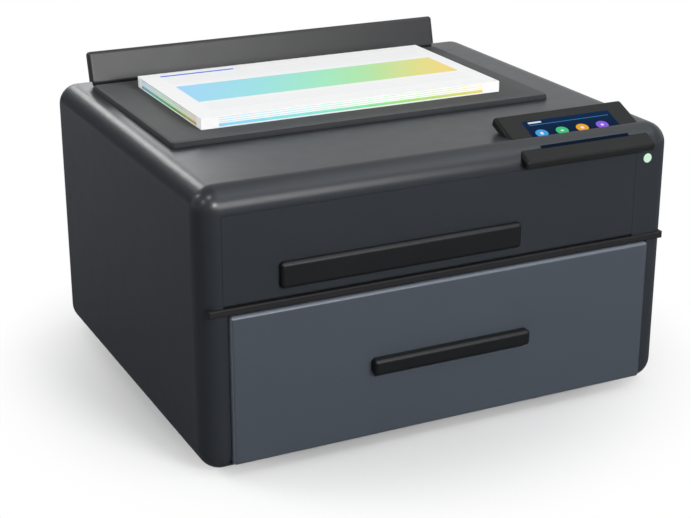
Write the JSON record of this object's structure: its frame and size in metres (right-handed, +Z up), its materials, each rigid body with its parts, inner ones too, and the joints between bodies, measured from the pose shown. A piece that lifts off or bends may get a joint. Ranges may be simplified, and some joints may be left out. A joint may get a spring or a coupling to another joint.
{
  "type": "laser printer",
  "caption": "Desktop colour laser printer with a paper drawer, fold-down front door, tilted control panel, rear door and top output tray with a hinged stop.",
  "frame": {"origin": "on the table, under the middle of the whole machine", "axes": "+X to the right seen from the front, +Y to the back, +Z up"},
  "size_m": [0.42, 0.372, 0.2639],
  "materials": {
    "casing": "fine moulded texture, satin",
    "drawer_front": "fine moulded texture, satin",
    "dark_trim": "satin",
    "screen": "gloss",
    "lamp": "clear, lit",
    "paper": "uncoated",
    "foot_rubber": "matt",
    "engine_black": "matt",
    "sheet_steel": "zinc plated",
    "roller_rubber": "matt",
    "heat_sleeve": "coated",
    "belt": "smooth",
    "drum_coat": "smooth coating",
    "toner_yellow": "matt",
    "toner_magenta": "matt",
    "toner_cyan": "matt",
    "toner_black": "matt",
    "mirror": "polished",
    "lens": "polished",
    "circuit_board": "solder resist",
    "motor": "satin"
  },
  "bodies": {
    "printer": {"base_pan": "casing", "left_cover": "casing", "right_cover": "casing", "top_cover": "casing", "rear_cover": "casing", "front_frame": "casing", "trim_strip": "dark_trim", "output_tray": "dark_trim", "control_panel": "dark_trim", "touch_screen": "screen", "status_led": "lamp", "rubber_feet": "foot_rubber", "left_side_frame": "sheet_steel", "right_side_frame": "sheet_steel", "frame_crossbars": "sheet_steel", "scanner_housing": "engine_black", "scanner_lid": "sheet_steel", "scan_lenses": "lens", "toner_drawer": "engine_black", "toner_cartridge_yellow": "toner_yellow", "toner_cartridge_magenta": "toner_magenta", "toner_cartridge_cyan": "toner_cyan", "toner_cartridge_black": "toner_black", "transfer_belt": "belt", "belt_frame": "engine_black", "fuser_housing": "engine_black", "feed_guide": "engine_black", "power_supply": "circuit_board", "main_board": "circuit_board", "fan_housing": "engine_black", "drive_motor": "motor", "power_inlet": "engine_black", "cover_screws": "sheet_steel"},
    "paper_drawer": {"paper_tray": "engine_black", "tray_front": "drawer_front", "tray_handle": "dark_trim"},
    "lift_plate": {"lift_plate": "sheet_steel"},
    "left_guide": {"left_guide": "engine_black"},
    "right_guide": {"right_guide": "engine_black"},
    "guide_pinion": {"guide_pinion": "engine_black"},
    "length_guide": {"length_guide": "engine_black"},
    "front_door": {"front_door": "casing", "door_grip": "dark_trim"},
    "exit_flap": {"exit_flap": "dark_trim"},
    "rear_door": {"rear_door": "casing"},
    "power_switch": {"power_switch": "engine_black"},
    "fan_rotor": {"fan_rotor": "engine_black"},
    "polygon_mirror": {"polygon_mirror": "mirror"},
    "drum_yellow": {"drum_yellow": "drum_coat"},
    "drum_magenta": {"drum_magenta": "drum_coat"},
    "drum_cyan": {"drum_cyan": "drum_coat"},
    "drum_black": {"drum_black": "drum_coat"},
    "belt_drive_roller": {"belt_drive_roller": "roller_rubber"},
    "belt_idle_roller": {"belt_idle_roller": "roller_rubber"},
    "heat_roller": {"heat_roller": "heat_sleeve"},
    "pressure_roller": {"pressure_roller": "roller_rubber"},
    "registration_roller": {"registration_roller": "roller_rubber"},
    "pickup_roller": {"pickup_roller": "roller_rubber"},
    "exit_roller": {"exit_roller": "roller_rubber"},
    "printed_sheets": {"printed_sheets": "paper"}
  },
  "joints": [
    {"name": "drawer_slide", "type": "slide", "parent": "printer", "child": "paper_drawer", "axis": [0, -1, 0], "range_m": [0, 0.25]},
    {"name": "lift_plate_hinge", "type": "hinge", "parent": "paper_drawer", "child": "lift_plate", "pos_m": [0, 0.026, 0.0195], "axis": [-1, 0, 0], "range_deg": [0, 27]},
    {"name": "left_guide_slide", "type": "slide", "parent": "paper_drawer", "child": "left_guide", "axis": [1, 0, 0], "range_m": [0, 0.031]},
    {"name": "right_guide_slide", "type": "slide", "parent": "paper_drawer", "child": "right_guide", "axis": [-1, 0, 0], "range_m": [0, 0.031]},
    {"name": "guide_pinion_spin", "type": "hinge", "parent": "paper_drawer", "child": "guide_pinion", "pos_m": [0, -0.039, 0.0165], "axis": [0, 0, 1], "range_deg": [-149, 0]},
    {"name": "length_guide_slide", "type": "slide", "parent": "paper_drawer", "child": "length_guide", "axis": [0, -1, 0], "range_m": [0, 0.087]},
    {"name": "front_door_hinge", "type": "hinge", "parent": "printer", "child": "front_door", "pos_m": [0, -0.1715, 0.1437], "axis": [1, 0, 0], "range_deg": [0, 85]},
    {"name": "exit_flap_hinge", "type": "hinge", "parent": "printer", "child": "exit_flap", "pos_m": [0, 0.1521, 0.2378], "axis": [-1, 0, 0], "range_deg": [0, 60]},
    {"name": "rear_door_hinge", "type": "hinge", "parent": "printer", "child": "rear_door", "pos_m": [0, 0.1835, 0.0759], "axis": [-1, 0, 0], "range_deg": [0, 90]},
    {"name": "power_switch_rock", "type": "hinge", "parent": "printer", "child": "power_switch", "pos_m": [0.16, 0.18, 0.087], "axis": [-1, 0, 0], "range_deg": [0, 14]},
    {"name": "fan_spin", "type": "hinge", "parent": "printer", "child": "fan_rotor", "pos_m": [0.2, -0.064, 0.153], "axis": [1, 0, 0], "continuous": true},
    {"name": "mirror_spin", "type": "hinge", "parent": "printer", "child": "polygon_mirror", "pos_m": [0, -0.012, 0.215], "axis": [0, 0, 1], "continuous": true},
    {"name": "drum_yellow_spin", "type": "hinge", "parent": "printer", "child": "drum_yellow", "pos_m": [0, -0.087, 0.1781], "axis": [1, 0, 0], "continuous": true},
    {"name": "drum_magenta_spin", "type": "hinge", "parent": "printer", "child": "drum_magenta", "pos_m": [0, -0.037, 0.1781], "axis": [1, 0, 0], "continuous": true},
    {"name": "drum_cyan_spin", "type": "hinge", "parent": "printer", "child": "drum_cyan", "pos_m": [0, 0.013, 0.1781], "axis": [1, 0, 0], "continuous": true},
    {"name": "drum_black_spin", "type": "hinge", "parent": "printer", "child": "drum_black", "pos_m": [0, 0.063, 0.1781], "axis": [1, 0, 0], "continuous": true},
    {"name": "belt_drive_spin", "type": "hinge", "parent": "printer", "child": "belt_drive_roller", "pos_m": [0, 0.088, 0.154], "axis": [1, 0, 0], "continuous": true},
    {"name": "belt_idle_spin", "type": "hinge", "parent": "printer", "child": "belt_idle_roller", "pos_m": [0, -0.112, 0.154], "axis": [1, 0, 0], "continuous": true},
    {"name": "heat_roller_spin", "type": "hinge", "parent": "printer", "child": "heat_roller", "pos_m": [0, 0.126, 0.17895], "axis": [1, 0, 0], "continuous": true},
    {"name": "pressure_roller_spin", "type": "hinge", "parent": "printer", "child": "pressure_roller", "pos_m": [0, 0.126, 0.15265], "axis": [1, 0, 0], "continuous": true},
    {"name": "registration_spin", "type": "hinge", "parent": "printer", "child": "registration_roller", "pos_m": [0, -0.132, 0.1595], "axis": [1, 0, 0], "continuous": true},
    {"name": "pickup_spin", "type": "hinge", "parent": "printer", "child": "pickup_roller", "pos_m": [0, -0.11, 0.115], "axis": [1, 0, 0], "continuous": true},
    {"name": "exit_roller_spin", "type": "hinge", "parent": "printer", "child": "exit_roller", "pos_m": [0, 0.1556, 0.217], "axis": [1, 0, 0], "continuous": true},
    {"name": "sheets_lift", "type": "slide", "parent": "printer", "child": "printed_sheets", "axis": [0, 0, 1], "range_m": [0, 0.06]}
  ],
  "couplings": [
    {"joint": "right_guide_slide", "follows": "left_guide_slide", "ratio": 1},
    {"joint": "guide_pinion_spin", "follows": "left_guide_slide", "rad_per_m": -83.333},
    {"joint": "belt_idle_spin", "follows": "belt_drive_spin", "ratio": 1},
    {"joint": "drum_yellow_spin", "follows": "belt_drive_spin", "ratio": -0.91667},
    {"joint": "drum_magenta_spin", "follows": "belt_drive_spin", "ratio": -0.91667},
    {"joint": "drum_cyan_spin", "follows": "belt_drive_spin", "ratio": -0.91667},
    {"joint": "drum_black_spin", "follows": "belt_drive_spin", "ratio": -0.91667},
    {"joint": "heat_roller_spin", "follows": "belt_drive_spin", "ratio": -0.84615},
    {"joint": "pressure_roller_spin", "follows": "belt_drive_spin", "ratio": 0.84615},
    {"joint": "registration_spin", "follows": "belt_drive_spin", "ratio": 1.8333},
    {"joint": "exit_roller_spin", "follows": "belt_drive_spin", "ratio": 1.375}
  ]
}
